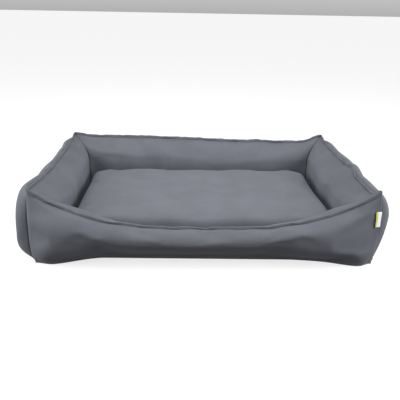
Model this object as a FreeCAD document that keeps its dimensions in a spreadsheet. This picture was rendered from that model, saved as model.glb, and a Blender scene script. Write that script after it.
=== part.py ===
"""Rectangular pet cushion bed: four stuffed bolster walls sewn into one removable cover, and a loose cushion.

Frame: millimetres, +Z up, X along the long side, the low entry wall at -Y, origin at the centre of the
underside. Every wall is drawn once in its own frame (it runs along X, its outer side faces +Y) and turned
into place. Profiles are (u, v): u outwards from the rim line, v upwards.
"""
import FreeCAD, Part
import math
import os

import Sketcher

Vector, Rotation, Placement = FreeCAD.Vector, FreeCAD.Rotation, FreeCAD.Placement

DIMENSIONS = [
    # alias, millimetres (or a plain share), what it is
    ("rim_length", 986, "rim corner to rim corner, along X"),
    ("rim_depth", 722, "rim corner to rim corner, along Y"),
    ("rim_height", 217, "height of the rim seam at the four corners"),
    ("front_dip", 110, "how far the front rim sinks at its middle"),
    ("back_dip", 24, "how far the back rim sinks at its middle"),
    ("side_dip", 25, "how far the side rims sink at their middles"),
    ("outer_bulge", 55, "outer panels stand this far outside the rim line"),
    ("inner_bulge", 82, "inner panels stand this far inside the rim line"),
    ("corner_outer_bulge", 2, "the same, outside a corner seam"),
    ("corner_inner_bulge", 67, "the same, inside a corner seam"),
    ("outer_foot", 14, "the walls' outer bottom edge, inside the rim line"),
    ("inner_foot", 60, "the walls' inner bottom edge, inside the rim line"),
    ("bulge_share", 0.46, "height of the widest point, as a share of the wall"),
    ("skirt_height", 34, "straight strip at the foot of the outer panels"),
    ("fold_rise", 3, "how far above the skirt the cloth's inner face turns outwards"),
    ("cloth", 2, "thickness of the cover's cloth"),
    ("rim_land", 4, "width of the seam land that carries the rim flange"),
    ("seam_gap", 0.1, "gap where two sewn pieces meet"),
    ("fill_gap", 2, "gap between the cover and the stuffing"),
    ("flange_gap", 1.5, "between the rim seam and the flange"),
    ("seam_allowance", 5, "both panels sewn together under the rim, above the stuffing"),
    ("floor_gap", 5, "between the lining and the walls' inner foot"),
    ("flange_height", 8, "height of the topstitched rim flange"),
    ("base_thickness", 2, "non-slip base cloth"),
    ("floor_thickness", 1.5, "lining under the cushion"),
    ("cushion_thickness", 100, "loose cushion, bottom to top"),
    ("cushion_gap", 6, "between the cushion and the walls' inner bulge"),
    ("cushion_corner", 85, "cushion corner radius in plan"),
    ("cushion_edge", 46, "cushion edge radius"),
    ("lift_gap", 0.3, "between the lining and the cushion"),
    ("cover_zip_length", 800, "zip in the back wall's skirt"),
    ("cover_zip_level", 19, "height of that zip's centre line"),
    ("cover_puller_length", 24, "that zip's pull tab, from its pin"),
    ("cushion_zip_length", 500, "zip in the cushion's lower back edge"),
    ("cushion_puller_length", 16, "that zip's pull tab, from its pin"),
    ("zip_width", 26, "both tapes of a zip, edge to edge"),
    ("tape_thickness", 0.8, "zip tape"),
    ("coil_width", 2.6, "one coil of the zip, across"),
    ("coil_height", 1.8, "one coil of the zip, above its tape"),
    ("coil_slot", 1.5, "slot between the two coils, for the slider's neck"),
    ("coil_end", 9, "tape beyond each end of the coils"),
    ("stop_length", 3, "metal stop at each end of the coils"),
    ("zip_pocket", 7, "depth of the pocket that a zip lies in"),
    ("slider_length", 13, "zip slider"),
    ("slider_wall", 1, "zip slider's plates, skirts and posts"),
    ("slider_play", 0.35, "between the slider and what it runs on or holds"),
    ("puller_width", 8, "pull tab"),
    ("puller_thickness", 1.2, "pull tab"),
    ("pin_radius", 0.75, "cross pin of the pull tab, under the slider's bridge"),
    ("label_width", 18, "folded side label, out from the seam"),
    ("label_height", 46, "folded side label, along the seam"),
    ("label_thickness", 1, "both layers of the label"),
    ("label_level", 122, "height of the label's lower edge"),
    ("label_standoff", 7, "label's sewn edge, outside the corner seam"),
    ("label_swing", 100, "degrees from the X axis round to the label, over the front panel"),
]


def start_document():
    """The document and its sheet of driving dimensions."""
    doc = FreeCAD.newDocument("pet_cushion_bed")
    sheet = doc.addObject("Spreadsheet::Sheet", "dims")
    for row, (alias, value, note) in enumerate(DIMENSIONS, start=1):
        sheet.set(f"A{row}", str(value))
        sheet.set(f"B{row}", note)
        sheet.setAlias(f"A{row}", alias)
    doc.recompute()
    return doc, sheet


doc, sheet = start_document()


def value(expression):
    """The number that an expression on the sheet gives."""
    return float(sheet.evalExpression(str(expression)))


def bind(item, **expressions):
    """Binds properties of an object to expressions on the sheet."""
    for name, expression in expressions.items():
        item.setExpression(name, str(expression))


def put(item, x, y, z, rotation=None):
    """Places an object at a bound position, turned by a rotation."""
    item.Placement = Placement(Vector(), rotation or Rotation())
    bind(item, **{".Placement.Base.x": x, ".Placement.Base.y": y, ".Placement.Base.z": z})


def origin_plane(body, role):
    return next(f for f in body.Origin.OriginFeatures if f.Role == role)


def new_body(label, place=None):
    body = doc.addObject("PartDesign::Body", label)
    body.Label = label
    if place is not None:
        put(body, *place)
    return body


def near_end(sketch, edge, point):
    """Which end of a sketch edge, 1 or 2, lies at a point."""
    return min((1, 2), key=lambda end: (sketch.getPoint(edge, end) - point).Length)


def hold(sketch, kind, edge, end, expression):
    """Places one end of an edge at a bound distance from the sketch's origin."""
    index = sketch.addConstraint(Sketcher.Constraint(kind, -1, 1, edge, end, value(expression)))
    sketch.setExpression(f"Constraints[{index}]", str(expression))


def closed_sketch(body, name, role, corners, through=None):
    """A closed outline on an origin plane. corners are (u, v) expressions, and through[i] is a point that the
    edge from corner i to the next one passes, which makes it an arc."""
    through = through or {}
    sketch = body.newObject("Sketcher::SketchObject", name)
    sketch.AttachmentSupport = [(origin_plane(body, role), "")]
    sketch.MapMode = "FlatFace"
    points = [Vector(value(u), value(v), 0) for u, v in corners]
    count = len(points)
    for i in range(count):
        here, there = points[i], points[(i + 1) % count]
        if i in through:
            middle = Vector(value(through[i][0]), value(through[i][1]), 0)
            sketch.addGeometry(Part.Arc(here, middle, there), False)
        else:
            sketch.addGeometry(Part.LineSegment(here, there), False)
    for i, (u, v) in enumerate(corners):
        before = (i - 1) % count
        end, end_before = near_end(sketch, i, points[i]), near_end(sketch, before, points[i])
        sketch.addConstraint(Sketcher.Constraint("Coincident", before, end_before, i, end))
        hold(sketch, "DistanceX", i, end, u)
        hold(sketch, "DistanceY", i, end, v)
    for i, (u, v) in through.items():
        dot = sketch.addGeometry(Part.Point(Vector(value(u), value(v), 0)), True)
        sketch.addConstraint(Sketcher.Constraint("PointOnObject", dot, 1, i))
        hold(sketch, "DistanceX", dot, 1, u)
        hold(sketch, "DistanceY", dot, 1, v)
    return sketch


def rectangle(low_u, low_v, high_u, high_v):
    return [(low_u, low_v), (high_u, low_v), (high_u, high_v), (low_u, high_v)]


# ---------------------------------------------------------------- walls

WALLS = {
    # wall: (its run, its dip, how far its rim line is from the centre, its turn about Z)
    "back": ("dims.rim_length", "dims.back_dip", "dims.rim_depth / 2", 0),
    "left": ("dims.rim_depth", "dims.side_dip", "dims.rim_length / 2", 90),
    "front": ("dims.rim_length", "dims.front_dip", "dims.rim_depth / 2", 180),
    "right": ("dims.rim_depth", "dims.side_dip", "dims.rim_length / 2", -90),
}
SECTION_SHARES = (1, 0.7, 0.35, 0, -0.35, -0.7, -1)  # of the half run; the first and last are the mitres
MITRE = 45  # degrees
FOOT = "dims.base_thickness"
SKIRT = f"({FOOT} + dims.skirt_height)"


class Section:
    """One cross-section of a wall. share is its place from the middle (0) to a mitre (1 or -1). The rim sinks
    by 1 - |share|^3 of the dip and the bulges swell by 1 - share^6. A mitre's plane stretches u by root 2
    and stands back from the rim corner."""

    def __init__(self, run, dip, share, stand_back):
        mitre = abs(share) == 1
        sink, swell = 1 - abs(share) ** 3, 1 - share**6
        self.place = f"-{share} * ({run} / 2 - {stand_back})"
        self.turn = MITRE * share if mitre else 0
        self.rim = f"(dims.rim_height - {dip} * {sink})"
        self.level = f"({FOOT} + dims.bulge_share * ({self.rim} - {FOOT}))"
        self.out = f"(dims.corner_outer_bulge + (dims.outer_bulge - dims.corner_outer_bulge) * {swell})"
        self.into = f"(dims.corner_inner_bulge + (dims.inner_bulge - dims.corner_inner_bulge) * {swell})"
        self.stretch = "sqrt(2)" if mitre else "1"

    def u(self, expression):
        return f"({expression}) * {self.stretch}"

    def outer_panel(self):
        """Cloth from the outer foot, up the skirt and over the bulge, to the rim seam."""
        corners = [
            (self.u("-dims.outer_foot"), FOOT),
            (self.u("-dims.outer_foot"), SKIRT),
            (self.u("dims.rim_land / 2"), self.rim),
            ("dims.seam_gap / 2", self.rim),
            ("dims.seam_gap / 2", f"{self.rim} - dims.seam_allowance"),
            (self.u("-dims.outer_foot - dims.cloth"), f"{SKIRT} + dims.fold_rise"),
            (self.u("-dims.outer_foot - dims.cloth"), FOOT),
        ]
        outside, inside = self.u(self.out), self.u(f"{self.out} - dims.cloth")
        return corners, {1: (outside, self.level), 4: (inside, self.level)}

    def inner_panel(self):
        """Cloth from the rim seam, over the inner bulge, to the inner foot."""
        corners = [
            ("-dims.seam_gap / 2", self.rim),
            (self.u("-dims.rim_land / 2"), self.rim),
            (self.u("-dims.inner_foot"), FOOT),
            (self.u("dims.cloth - dims.inner_foot"), FOOT),
            ("-dims.seam_gap / 2", f"{self.rim} - dims.seam_allowance"),
        ]
        outside, inside = self.u(f"-{self.into}"), self.u(f"dims.cloth - {self.into}")
        return corners, {1: (outside, self.level), 3: (inside, self.level)}

    def stuffing(self):
        """Stuffing, clear of both panels by fill_gap and of their seam allowance at the rim."""
        inset = "(dims.cloth + dims.fill_gap)"
        corners = [
            (self.u(f"-dims.outer_foot - {inset}"), FOOT),
            (self.u(f"-dims.outer_foot - {inset}"), f"{SKIRT} + dims.fold_rise + 3 * dims.fill_gap"),
            ("0", f"{self.rim} - dims.seam_allowance - 2 * dims.fill_gap"),
            (self.u(f"{inset} - dims.inner_foot"), FOOT),
        ]
        outer, inner = self.u(f"{self.out} - {inset}"), self.u(f"{inset} - {self.into}")
        return corners, {1: (outer, self.level), 2: (inner, self.level)}

    def flange(self):
        """The topstitched ridge that stands on the rim seam."""
        half = self.u("dims.rim_land / 2")
        low, high = f"{self.rim} + dims.flange_gap", f"{self.rim} + dims.flange_height"
        return rectangle(f"-{half}", low, half, high), {}


def wall_piece(label, wall, outline, stand_back):
    """One piece of a wall: a loft through its sections, turned into place. outline is a method of Section
    and stand_back is the piece's gap at the mitres."""
    run, dip, reach, turn = WALLS[wall]
    across = math.radians(turn)
    body = new_body(label)
    put(body, f"{-round(math.sin(across))} * {reach}", f"{round(math.cos(across))} * {reach}", "0",
        Rotation(Vector(0, 0, 1), turn))
    sketches = []
    for number, share in enumerate(SECTION_SHARES):
        section = Section(run, dip, share, stand_back)
        sketch = closed_sketch(body, f"{label}_section_{number}", "YZ_Plane", *outline(section))
        sketch.AttachmentOffset = Placement(Vector(), Rotation(Vector(0, 1, 0), section.turn))
        bind(sketch, **{".AttachmentOffset.Base.z": section.place})
        sketches.append(sketch)
    loft = body.newObject("PartDesign::AdditiveLoft", f"{label}_loft")
    loft.Profile = sketches[0]
    loft.Sections = [(sketch, [""]) for sketch in sketches[1:]]
    return body


def less(label, base, tool):
    """A sub-part left when a tool is cut from a base."""
    item = doc.addObject("Part::Cut", label)
    item.Base, item.Tool = base, tool
    item.Label = label
    return item


def within(label, base, tool):
    """A sub-part: what a base and a tool share."""
    item = doc.addObject("Part::Common", label)
    item.Base, item.Tool = base, tool
    item.Label = label
    return item


def flat_panel(label, margin, low, thickness):
    """A flat rectangular sheet of cloth, a margin inside the rim line."""
    body = new_body(label)
    half_length, half_depth = f"(dims.rim_length / 2 - {margin})", f"(dims.rim_depth / 2 - {margin})"
    outline = rectangle(f"-{half_length}", f"-{half_depth}", half_length, half_depth)
    sketch = closed_sketch(body, f"{label}_outline", "XY_Plane", outline)
    bind(sketch, **{".AttachmentOffset.Base.z": low})
    pad = body.newObject("PartDesign::Pad", f"{label}_pad")
    pad.Profile = sketch
    bind(pad, Length=thickness)
    return body


# ---------------------------------------------------------------- zips, drawn along X with +Z outwards

TAPE_TOP = "dims.tape_thickness"
COIL_TOP = "(dims.tape_thickness + dims.coil_height)"
PLATE_FOOT = f"({COIL_TOP} + dims.slider_play)"
PLATE_TOP = f"({PLATE_FOOT} + dims.slider_wall)"
PIN_LEVEL = f"({PLATE_TOP} + dims.slider_play + dims.puller_thickness / 2)"
COIL_EDGE = "(dims.coil_slot / 2 + dims.coil_width)"
SLIDER_EDGE = f"({COIL_EDGE} + dims.slider_play + dims.slider_wall)"
SIDES = {"lower": -1, "upper": 1}


def box(name, low, high):
    """A Part box between two corners given as expressions."""
    item = doc.addObject("Part::Box", name)
    length, width, height = (f"({b}) - ({a})" for a, b in zip(low, high))
    bind(item, Length=length, Width=width, Height=height)
    put(item, *low)
    return item


def mirrored_box(name, side, near, far, low_x, low_z, high_x, high_z):
    """A box from near to far across the zip, on one side of its centre line."""
    across = (near, far) if side > 0 else (f"-({far})", f"-({near})")
    return box(name, (low_x, across[0], low_z), (high_x, across[1], high_z))


def joined(label, shapes, place):
    item = doc.addObject("Part::MultiFuse", label)
    item.Shapes = shapes
    item.Label = label
    put(item, *place)
    return item


def grouped(label, shapes, place):
    """Separate solids kept in one sub-part."""
    item = doc.addObject("Part::Compound", label)
    item.Links = shapes
    item.Label = label
    put(item, *place)
    return item


def zip_tape(label, side, length, place):
    """One tape, from the slot between the coils out to its edge."""
    body = new_body(label, place)
    near, far = f"{side} * dims.coil_slot / 2", f"{side} * dims.zip_width / 2"
    outline = rectangle(f"-{length} / 2", near, f"{length} / 2", far)
    sketch = closed_sketch(body, f"{label}_outline", "XY_Plane", outline)
    pad = body.newObject("PartDesign::Pad", f"{label}_pad")
    pad.Profile = sketch
    bind(pad, Length=TAPE_TOP)
    return body


def zip_coil(label, side, length, place):
    """One row of the coil, as a bar with a rounded top, sewn along the tape's edge."""
    body = new_body(label, place)
    near, far = f"{side} * dims.coil_slot / 2", f"{side} * {COIL_EDGE}"
    shoulder = f"{TAPE_TOP} + dims.coil_height / 3"
    corners = [(near, TAPE_TOP), (far, TAPE_TOP), (far, shoulder), (near, shoulder)]
    through = {2: (f"({near} + {far}) / 2", COIL_TOP)}
    sketch = closed_sketch(body, f"{label}_section", "YZ_Plane", corners, through)
    bind(sketch, **{".AttachmentOffset.Base.z": f"dims.coil_end - {length} / 2"})
    pad = body.newObject("PartDesign::Pad", f"{label}_pad")
    pad.Profile = sketch
    bind(pad, Length=f"{length} - 2 * dims.coil_end")
    return body


def zip_stops(label, length, place):
    """A metal stop clamped across the tapes at each end of the coils."""
    blocks = []
    for end, name in ((-1, "start"), (1, "finish")):
        middle = f"{end} * ({length} / 2 - dims.coil_end / 2)"
        low = (f"{middle} - dims.stop_length / 2", f"-{COIL_EDGE}", TAPE_TOP)
        high = (f"{middle} + dims.stop_length / 2", COIL_EDGE, COIL_TOP)
        blocks.append(box(f"{label}_{name}", low, high))
    return grouped(label, blocks, place)


def zip_slider(label, place):
    """Two plates joined by a thin neck that runs in the slot between the coils, skirts down to the tapes, and
    a bridge on two posts for the pull tab's pin."""
    half = "dims.slider_length / 2"
    skirt_foot = f"({TAPE_TOP} + dims.slider_play)"
    back_top = "(-dims.slider_play)"
    back_foot = f"({back_top} - dims.slider_wall)"
    neck = "(dims.coil_slot / 2 - dims.slider_play)"
    neck_start = f"{half} - 3 * dims.slider_wall"
    neck_finish = f"{half} - dims.slider_wall"
    bridge_foot = f"({PIN_LEVEL} + dims.pin_radius + dims.slider_play)"
    bridge_top = f"({bridge_foot} + dims.slider_wall)"
    post_near = "(dims.pin_radius + dims.slider_play)"
    post_far = f"({post_near} + dims.slider_wall)"
    width = "dims.slider_wall"
    parts = [
        box(f"{label}_plate", (f"-{half}", f"-{SLIDER_EDGE}", PLATE_FOOT), (half, SLIDER_EDGE, PLATE_TOP)),
        box(f"{label}_back_plate", (f"-{half}", f"-{SLIDER_EDGE}", back_foot), (half, SLIDER_EDGE, back_top)),
        box(f"{label}_neck", (neck_start, f"-{neck}", back_top), (neck_finish, neck, PLATE_FOOT)),
        box(f"{label}_bridge", (f"-{post_far}", f"-{width}", bridge_foot), (post_far, width, bridge_top)),
    ]
    for name, side in SIDES.items():
        skirt_near = f"{SLIDER_EDGE} - dims.slider_wall"
        parts.append(mirrored_box(f"{label}_{name}_skirt", side, skirt_near, SLIDER_EDGE,
                                  f"-{half}", skirt_foot, half, PLATE_FOOT))
        start, finish = (post_near, post_far) if side > 0 else (f"-{post_far}", f"-{post_near}")
        low, high = (start, f"-{width}", PLATE_TOP), (finish, width, bridge_foot)
        parts.append(box(f"{label}_{name}_post", low, high))
    return joined(label, parts, place)


def zip_puller(label, length, place):
    """A flat tab on two arms with a round pin between them. It lies along +X from its pin."""
    half = "dims.puller_width / 2"
    arm_near = "(dims.slider_wall + dims.slider_play)"
    low, high = f"{PIN_LEVEL} - dims.puller_thickness / 2", f"{PIN_LEVEL} + dims.puller_thickness / 2"
    window_end = "(dims.pin_radius + 3 * dims.slider_wall + 2 * dims.slider_play)"
    parts = [box(f"{label}_tab", (window_end, f"-{half}", low), (length, half, high))]
    for name, side in SIDES.items():
        parts.append(mirrored_box(f"{label}_{name}_arm", side, arm_near, half,
                                  "-dims.pin_radius", low, window_end, high))
    pin = doc.addObject("Part::Cylinder", f"{label}_pin")
    bind(pin, Radius="dims.pin_radius", Height=f"2 * {half}")
    put(pin, "0", f"-{half}", PIN_LEVEL, Rotation(Vector(1, 0, 0), -90))
    parts.append(pin)
    return joined(label, parts, place)


def facing_back(y, z, drop, x="0"):
    """The place of a zip on a face that looks along +Y, tilted down by drop degrees. Its own X runs along -X
    and its upper tape is the higher one."""
    lean = math.radians(drop)
    up_the_face = Vector(0, math.sin(lean), math.cos(lean))
    return x, y, z, Rotation(Vector(-1, 0, 0), up_the_face, Vector(), "XYZ")


def zip_fastener(prefix, length, puller_length, y, z, drop):
    """All the pieces of one closed zip."""
    place = facing_back(y, z, drop)
    closed = facing_back(y, z, drop, f"dims.coil_end + dims.slider_length / 2 - {length} / 2")
    return [
        *(zip_tape(f"{prefix}_tape_{name}", side, length, place) for name, side in SIDES.items()),
        *(zip_coil(f"{prefix}_coil_{name}", side, length, place) for name, side in SIDES.items()),
        zip_stops(f"{prefix}_stops", length, place),
        zip_slider(f"{prefix}_slider", closed),
        zip_puller(f"{prefix}_puller", puller_length, closed),
    ]


def zip_pocket(name, length, place):
    """The space cleared for a zip: its tapes' outline, zip_pocket deep and open outwards."""
    low = (f"-{length} / 2 - dims.seam_gap", "-dims.zip_width / 2 - dims.seam_gap", "-dims.zip_pocket")
    high = (f"{length} / 2 + dims.seam_gap", "dims.zip_width / 2 + dims.seam_gap", "2 * dims.zip_pocket")
    return grouped(f"{name}_placed", [box(name, low, high)], place)


COVER_ZIP = ("dims.rim_depth / 2 - dims.outer_foot - dims.cloth", "dims.cover_zip_level", 0)

# ---------------------------------------------------------------- cushion

CUSHION_FOOT = "(dims.base_thickness + dims.floor_thickness + dims.lift_gap)"
CUSHION_HALF_LENGTH = "(dims.rim_length / 2 - dims.inner_bulge - dims.cushion_gap)"
CUSHION_HALF_DEPTH = "(dims.rim_depth / 2 - dims.inner_bulge - dims.cushion_gap)"
HALFWAY_ROUND = "sqrt(2) / 2"  # a zip halfway round the cushion's lower back edge faces 45 degrees down
CUSHION_ZIP = (
    f"{CUSHION_HALF_DEPTH} - dims.cushion_edge + (dims.cushion_edge - dims.cloth) * {HALFWAY_ROUND}",
    f"{CUSHION_FOOT} + dims.cushion_edge - (dims.cushion_edge - dims.cloth) * {HALFWAY_ROUND}",
    45,
)


def cushion_solid(label, inset):
    """A rounded slab, inset all round by an expression: a padded outline with its two rims filleted."""
    body = new_body(label)
    long, deep = f"({CUSHION_HALF_LENGTH} - {inset})", f"({CUSHION_HALF_DEPTH} - {inset})"
    radius = f"(dims.cushion_corner - {inset})"
    bow = f"({radius} * (1 - {HALFWAY_ROUND}))"
    corners, through = [], {}
    for sx, sy in ((1, -1), (1, 1), (-1, 1), (-1, -1)):
        along_x = (f"{sx} * ({long} - {radius})", f"{sy} * {deep}")
        along_y = (f"{sx} * {long}", f"{sy} * ({deep} - {radius})")
        through[len(corners)] = (f"{sx} * ({long} - {bow})", f"{sy} * ({deep} - {bow})")
        corners += [along_x, along_y] if sx * sy < 0 else [along_y, along_x]
    sketch = closed_sketch(body, f"{label}_outline", "XY_Plane", corners, through)
    bind(sketch, **{".AttachmentOffset.Base.z": f"{CUSHION_FOOT} + {inset}"})
    pad = body.newObject("PartDesign::Pad", f"{label}_pad")
    pad.Profile = sketch
    bind(pad, Length=f"dims.cushion_thickness - 2 * {inset}")
    doc.recompute()
    rims = []
    for number, edge in enumerate(pad.Shape.Edges, start=1):
        span = edge.BoundBox.ZMax - edge.BoundBox.ZMin
        if span < value("dims.cushion_thickness") / 2:
            rims.append(f"Edge{number}")
    fillet = body.newObject("PartDesign::Fillet", f"{label}_edge")
    fillet.Base = (pad, rims)
    bind(fillet, Radius=f"dims.cushion_edge - {inset}")
    return body


def cushion_pieces(pocket):
    """The cushion's core, and its cover split at mid height into a top and a bottom panel."""
    outside = cushion_solid("cushion_outside", "0")
    core_whole = cushion_solid("cushion_core_whole", "dims.cloth")
    shell = less("cushion_cloth", outside, core_whole)
    reach_x, reach_y = "dims.rim_length / 2", "dims.rim_depth / 2"
    middle = f"({CUSHION_FOOT} + dims.cushion_thickness / 2)"
    over = box("over_cushion_seam", (f"-{reach_x}", f"-{reach_y}", f"{middle} + dims.seam_gap / 2"),
               (reach_x, reach_y, f"{middle} + dims.cushion_thickness"))
    under = box("under_cushion_seam", (f"-{reach_x}", f"-{reach_y}", f"{middle} - dims.cushion_thickness"),
                (reach_x, reach_y, f"{middle} - dims.seam_gap / 2"))
    return [
        within("cushion_top_panel", shell, over),
        less("cushion_bottom_panel", within("cushion_bottom_whole", shell, under), pocket),
        less("cushion_core", core_whole, pocket),
    ]


# ---------------------------------------------------------------- label

def side_label():
    """A folded label sewn into the front right corner seam, standing clear of both panels."""
    body = new_body("side_label")
    outline = rectangle("0", "dims.label_level", "dims.label_width", "dims.label_level + dims.label_height")
    sketch = closed_sketch(body, "side_label_outline", "XZ_Plane", outline)
    pad = body.newObject("PartDesign::Pad", "side_label_pad")
    pad.Profile = sketch
    pad.Reversed = True
    bind(pad, Length="dims.label_thickness")
    put(body, "dims.rim_length / 2 + dims.label_standoff", "-dims.rim_depth / 2 - dims.label_standoff", "0",
        Rotation(Vector(0, 0, 1), -value("dims.label_swing")))
    return body


WALL_PIECES = {
    # piece: (its outline, its gap at the mitres)
    "inner_panel": (Section.inner_panel, "dims.seam_gap"),
    "outer_panel": (Section.outer_panel, "dims.seam_gap"),
    "bolster_fill": (Section.stuffing, "2 * dims.fill_gap"),
    "rim_flange": (Section.flange, "dims.seam_gap"),
}
OPENED_FOR_THE_ZIP = ("outer_panel_back", "bolster_fill_back")


def cover():
    """The sewn cover and its stuffing. The back wall's skirt makes room for the cover's zip."""
    pocket = zip_pocket("cover_zip_pocket", "dims.cover_zip_length", facing_back(*COVER_ZIP))
    made = [
        flat_panel("base_panel", "dims.outer_foot", "0", "dims.base_thickness"),
        flat_panel("floor_panel", "(dims.inner_foot + dims.floor_gap)", FOOT, "dims.floor_thickness"),
    ]
    for wall in WALLS:
        for piece, (outline, stand_back) in WALL_PIECES.items():
            label = f"{piece}_{wall}"
            if label in OPENED_FOR_THE_ZIP:
                whole = wall_piece(f"{label}_whole", wall, outline, stand_back)
                made.append(less(label, whole, pocket))
            else:
                made.append(wall_piece(label, wall, outline, stand_back))
    return made + zip_fastener("cover_zip", "dims.cover_zip_length", "dims.cover_puller_length", *COVER_ZIP)


def cushion():
    """The loose cushion with its own cover and zip."""
    pocket = zip_pocket("cushion_zip_pocket", "dims.cushion_zip_length", facing_back(*CUSHION_ZIP))
    return cushion_pieces(pocket) + zip_fastener(
        "cushion_zip", "dims.cushion_zip_length", "dims.cushion_puller_length", *CUSHION_ZIP
    )


def check(made):
    """Stops the build if any object failed, or a sub-part has no valid shape."""
    doc.recompute()
    for item in doc.Objects:
        if any(word in state for state in item.State for word in ("Invalid", "Error")):
            raise SystemExit(f"{item.Label} failed: {item.State}")
    for item in made:
        shape = item.Shape
        if shape.isNull() or not shape.isValid() or not shape.Solids:
            raise SystemExit(f"{item.Label} has no valid solid")


def main():
    made = [*cover(), *cushion(), side_label()]
    check(made)
    os.makedirs("parts", exist_ok=True)
    for item in made:
        item.Shape.exportStep(f"parts/{item.Label}.step")
        print(f"{item.Label:26s} {len(item.Shape.Solids):3d} solid(s) {item.Shape.Volume / 1000:10.1f} cm3")


main()
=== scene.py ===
"""A rectangular cushion bed for a pet: four padded walls with a flanged rim round a loose cushion.

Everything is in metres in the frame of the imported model, with Z up, the floor at zero and the open
front towards -Y. Each class below is one sub-assembly of the bed.
"""

import logging
import math
from dataclasses import dataclass
from enum import Enum

import bpy
import numpy as np
from mathutils import Matrix, Vector


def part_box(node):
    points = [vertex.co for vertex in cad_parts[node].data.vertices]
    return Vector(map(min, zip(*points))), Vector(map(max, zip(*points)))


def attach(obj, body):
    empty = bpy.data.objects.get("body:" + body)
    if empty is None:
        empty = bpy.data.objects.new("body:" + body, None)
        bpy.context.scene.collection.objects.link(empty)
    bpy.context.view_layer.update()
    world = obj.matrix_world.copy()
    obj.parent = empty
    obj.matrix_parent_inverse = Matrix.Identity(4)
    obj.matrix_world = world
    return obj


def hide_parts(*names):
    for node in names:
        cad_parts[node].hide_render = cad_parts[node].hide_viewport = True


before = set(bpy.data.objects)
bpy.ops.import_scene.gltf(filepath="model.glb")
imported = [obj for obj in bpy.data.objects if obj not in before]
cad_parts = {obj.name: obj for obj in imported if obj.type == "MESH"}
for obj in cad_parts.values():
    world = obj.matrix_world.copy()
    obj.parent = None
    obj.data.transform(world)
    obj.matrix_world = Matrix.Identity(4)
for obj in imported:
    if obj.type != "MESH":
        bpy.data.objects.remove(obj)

LOG = logging.getLogger("pet_bed")
Array = np.ndarray


# ---------------------------------------------------------------- numbers and arrays

def ease(x: Array) -> Array:
    """Returns x held to 0..1 and eased at both ends, 3x^2 - 2x^3."""
    x = np.clip(x, 0.0, 1.0)
    return x * x * (3 - 2 * x)


def bump(x: Array, centre: float, width: float) -> Array:
    """Returns a bell of height 1 at the centre that has fallen to 1/e one width away."""
    return np.exp(-((x - centre) / width) ** 2)


def ripple(x: Array, lengths: tuple[float, ...], seed: float) -> Array:
    """Adds sines of several wavelengths into one uneven ripple of about unit height.

    Args:
        x: Distance along the seam.
        lengths: Wavelengths, in the unit of x.
        seed: Shifts the sines, so that no two seams are alike.

    Returns:
        The sum of the sines divided by the square root of how many there are.
    """
    waves = [np.sin(math.tau * x / step + seed * (3.1 + 1.7 * i)) for i, step in enumerate(lengths)]
    return sum(waves) / math.sqrt(len(lengths))


def running_length(path: Array) -> Array:
    """Returns the distance walked to each point of an (n, 3) path."""
    steps = np.linalg.norm(np.diff(path, axis=0), axis=1)
    return np.concatenate([[0.0], np.cumsum(steps)])


def sample(path: Array, run: Array, places: Array) -> Array:
    """Returns the points of an (n, 3) path at the places, where run says how far along each point is."""
    return np.stack([np.interp(places, run, path[:, axis]) for axis in range(3)], 1)


def unit(vectors: Array) -> Array:
    """Returns vectors of length 1 along the last axis."""
    return vectors / np.linalg.norm(vectors, axis=-1, keepdims=True)


def circle(count: int) -> Array:
    """Returns (count, 2) points evenly round a circle of radius 1."""
    angle = np.arange(count) / count * math.tau
    return np.stack([np.cos(angle), np.sin(angle)], -1)


# ---------------------------------------------------------------- meshes

def grid_faces(rows: int, columns: int, round_rows: bool = False, round_columns: bool = False) -> Array:
    """Makes the faces of a grid of points numbered row by row.

    Args:
        rows: Number of rows of points.
        columns: Number of points in a row.
        round_rows: Whether the last row joins the first.
        round_columns: Whether each row closes on itself.

    Returns:
        An (n, 4) array of point numbers, turning from a row's direction towards the next row.
    """
    i = np.arange(rows if round_rows else rows - 1)
    j = np.arange(columns if round_columns else columns - 1)
    i, j = (a.ravel() for a in np.meshgrid(i, j, indexing="ij"))
    down, right = (i + 1) % rows, (j + 1) % columns
    return np.stack([i * columns + j, i * columns + right, down * columns + right, down * columns + j], 1)


def make_piece(name: str, points: Array, faces: Array | list, uv: Array | None = None,
               smooth: bool = True) -> bpy.types.Object:
    """Puts points and faces into a new object at the origin.

    Args:
        name: The piece's name.
        points: (n, 3) places in metres.
        faces: Point numbers of each face.
        uv: Optional (n, 2) pattern places in metres, one per point.
        smooth: Whether the faces shade smoothly.

    Returns:
        The object, linked to the scene.
    """
    mesh = bpy.data.meshes.new(name)
    rows = faces.tolist() if isinstance(faces, np.ndarray) else faces
    mesh.from_pydata(np.zeros((len(points), 3)).tolist(), [], rows)
    mesh.vertices.foreach_set("co", np.asarray(points, np.float32).ravel())
    mesh.polygons.foreach_set("use_smooth", [smooth] * len(mesh.polygons))
    if uv is not None:
        loops = np.zeros(len(mesh.loops), np.int32)
        mesh.loops.foreach_get("vertex_index", loops)
        layer = mesh.uv_layers.new(name="UVMap")
        layer.data.foreach_set("uv", np.asarray(uv, np.float32)[loops].ravel())
    mesh.update()
    piece = bpy.data.objects.new(name, mesh)
    bpy.context.scene.collection.objects.link(piece)
    return piece


def coordinates(piece: bpy.types.Object) -> Array:
    """Returns the (n, 3) points of a piece's own mesh."""
    flat = np.zeros(len(piece.data.vertices) * 3, np.float32)
    piece.data.vertices.foreach_get("co", flat)
    return flat.reshape(-1, 3).astype(float)


def refine(piece: bpy.types.Object) -> None:
    """Adds one step of Subdivision Surface, in view and in render."""
    modifier = piece.modifiers.new("refine", "SUBSURF")
    modifier.levels = modifier.render_levels = 1


def thicken(piece: bpy.types.Object, thickness: float) -> None:
    """Gives a surface its thickness on the inner side of its faces."""
    modifier = piece.modifiers.new("cloth_thickness", "SOLIDIFY")
    modifier.thickness, modifier.offset, modifier.use_even_offset = thickness, -1.0, False


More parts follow.
